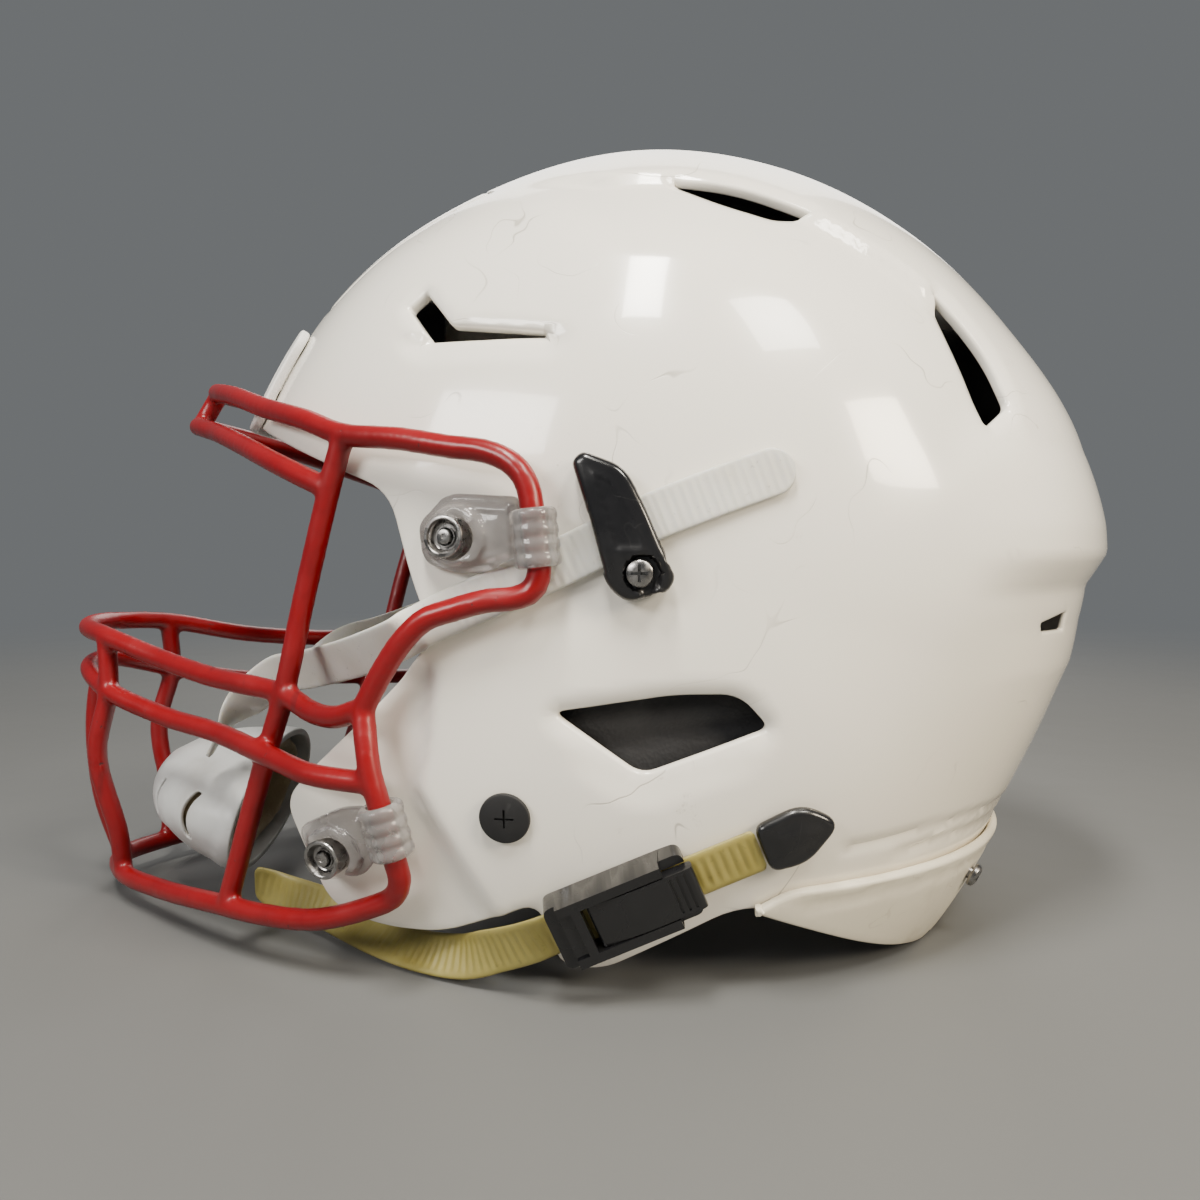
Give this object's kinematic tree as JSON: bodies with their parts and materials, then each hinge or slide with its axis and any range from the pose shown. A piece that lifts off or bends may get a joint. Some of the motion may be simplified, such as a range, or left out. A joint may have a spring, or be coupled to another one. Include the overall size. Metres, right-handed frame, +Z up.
{
  "type": "american football helmet",
  "caption": "American football helmet with a vented white shell, red wire face guard on clear clips, padded liner and a four-point chin strap with hard cup.",
  "frame": {"origin": "on the ground under the middle of the helmet's whole length and width", "axes": "+Z up, the wearer faces -Y, the wearer's left is +X"},
  "size_m": [0.2516, 0.3497, 0.2501],
  "materials": {
    "shell_white": "glossy, scuffed",
    "brow_white": "satin",
    "bumper_ivory": "satin, yellowed",
    "mask_red": "thick dipped coating, scuffed",
    "clip_clear": "clear, smoky",
    "dark_metal": "blackened",
    "gloss_black": "glossy",
    "matte_black": "matte",
    "strap_white": "ribbed, satin",
    "strap_yellowed": "ribbed, translucent, yellowed",
    "liner_black": "matte",
    "cup_grey": "satin",
    "cup_padding": "soft"
  },
  "bodies": {
    "helmet": {"shell": "shell_white", "brow_bumper": "brow_white", "rear_bumper": "bumper_ivory", "facemask": "mask_red", "clip_upper_left": "clip_clear", "clip_lower_left": "clip_clear", "quick_release_housing_upper_left": "dark_metal", "quick_release_nut_upper_left": "dark_metal", "quick_release_housing_lower_left": "dark_metal", "quick_release_nut_lower_left": "dark_metal", "keeper_screw_left": "dark_metal", "keeper_nut_left": "dark_metal", "buckle_pin_left": "dark_metal", "rear_bumper_screw_left": "dark_metal", "buckle_base_left": "gloss_black", "jaw_plug_left": "matte_black", "side_pad_left": "liner_black", "jaw_pad_left": "liner_black", "clip_upper_right": "clip_clear", "clip_lower_right": "clip_clear", "quick_release_housing_upper_right": "dark_metal", "quick_release_nut_upper_right": "dark_metal", "quick_release_housing_lower_right": "dark_metal", "quick_release_nut_lower_right": "dark_metal", "keeper_screw_right": "dark_metal", "keeper_nut_right": "dark_metal", "buckle_pin_right": "dark_metal", "rear_bumper_screw_right": "dark_metal", "buckle_base_right": "gloss_black", "jaw_plug_right": "matte_black", "side_pad_right": "liner_black", "jaw_pad_right": "liner_black", "brow_bumper_screw": "dark_metal", "front_pad": "liner_black", "crown_pad": "liner_black", "back_pad": "liner_black", "neck_pad": "liner_black"},
    "flex_panel": {"flex_panel": "shell_white"},
    "chin_strap": {"strap_end_cap_left": "gloss_black", "upper_strap_left": "strap_white", "lower_strap_left": "strap_yellowed", "strap_end_cap_right": "gloss_black", "upper_strap_right": "strap_white", "lower_strap_right": "strap_yellowed", "chin_cup": "cup_grey", "chin_cup_pad": "cup_padding"},
    "quick_release_button_upper_left": {"quick_release_button_upper_left": "dark_metal"},
    "quick_release_button_lower_left": {"quick_release_button_lower_left": "dark_metal"},
    "strap_keeper_left": {"strap_keeper_left": "gloss_black"},
    "buckle_lever_left": {"buckle_lever_left": "gloss_black"},
    "quick_release_button_upper_right": {"quick_release_button_upper_right": "dark_metal"},
    "quick_release_button_lower_right": {"quick_release_button_lower_right": "dark_metal"},
    "strap_keeper_right": {"strap_keeper_right": "gloss_black"},
    "buckle_lever_right": {"buckle_lever_right": "gloss_black"}
  },
  "joints": [
    {"name": "flex_panel_hinge", "type": "hinge", "parent": "helmet", "child": "flex_panel", "pos_m": [0, -0.03017, 0.2349], "axis": [1, 0, 0], "range_deg": [0, 2.5], "stiffness_Nm_per_rad": 40},
    {"name": "chin_strap_slide", "type": "slide", "parent": "helmet", "child": "chin_strap", "axis": [0, -0.9239, -0.3827], "range_m": [0, 0.005]},
    {"name": "buckle_lever_left_hinge", "type": "hinge", "parent": "helmet", "child": "buckle_lever_left", "pos_m": [0.11727, 0.00977, 0.02449], "axis": [-0.2213, 0.3732, -0.901], "range_deg": [0, 60], "stiffness_Nm_per_rad": 0.05},
    {"name": "strap_keeper_left_swivel", "type": "hinge", "parent": "helmet", "child": "strap_keeper_left", "pos_m": [0.11655, 0.0197, 0.1152], "axis": [0.9932, -0.1156, 0.0107], "range_deg": [-5, 5]},
    {"name": "quick_release_button_upper_left_press", "type": "slide", "parent": "helmet", "child": "quick_release_button_upper_left", "axis": [-0.9349, 0.3478, -0.0704], "range_m": [0, 0.0016], "stiffness_N_per_m": 1500},
    {"name": "quick_release_button_lower_left_press", "type": "slide", "parent": "helmet", "child": "quick_release_button_lower_left", "axis": [-0.9131, 0.3881, 0.125], "range_m": [0, 0.0016], "stiffness_N_per_m": 1500},
    {"name": "buckle_lever_right_hinge", "type": "hinge", "parent": "helmet", "child": "buckle_lever_right", "pos_m": [-0.11727, 0.00977, 0.02449], "axis": [-0.2213, -0.3732, 0.901], "range_deg": [0, 60], "stiffness_Nm_per_rad": 0.05},
    {"name": "strap_keeper_right_swivel", "type": "hinge", "parent": "helmet", "child": "strap_keeper_right", "pos_m": [-0.11655, 0.0197, 0.1152], "axis": [0.9932, 0.1156, -0.0107], "range_deg": [-5, 5]},
    {"name": "quick_release_button_upper_right_press", "type": "slide", "parent": "helmet", "child": "quick_release_button_upper_right", "axis": [0.9349, 0.3478, -0.0704], "range_m": [0, 0.0016], "stiffness_N_per_m": 1500},
    {"name": "quick_release_button_lower_right_press", "type": "slide", "parent": "helmet", "child": "quick_release_button_lower_right", "axis": [0.9131, 0.3881, 0.125], "range_m": [0, 0.0016], "stiffness_N_per_m": 1500}
  ]
}
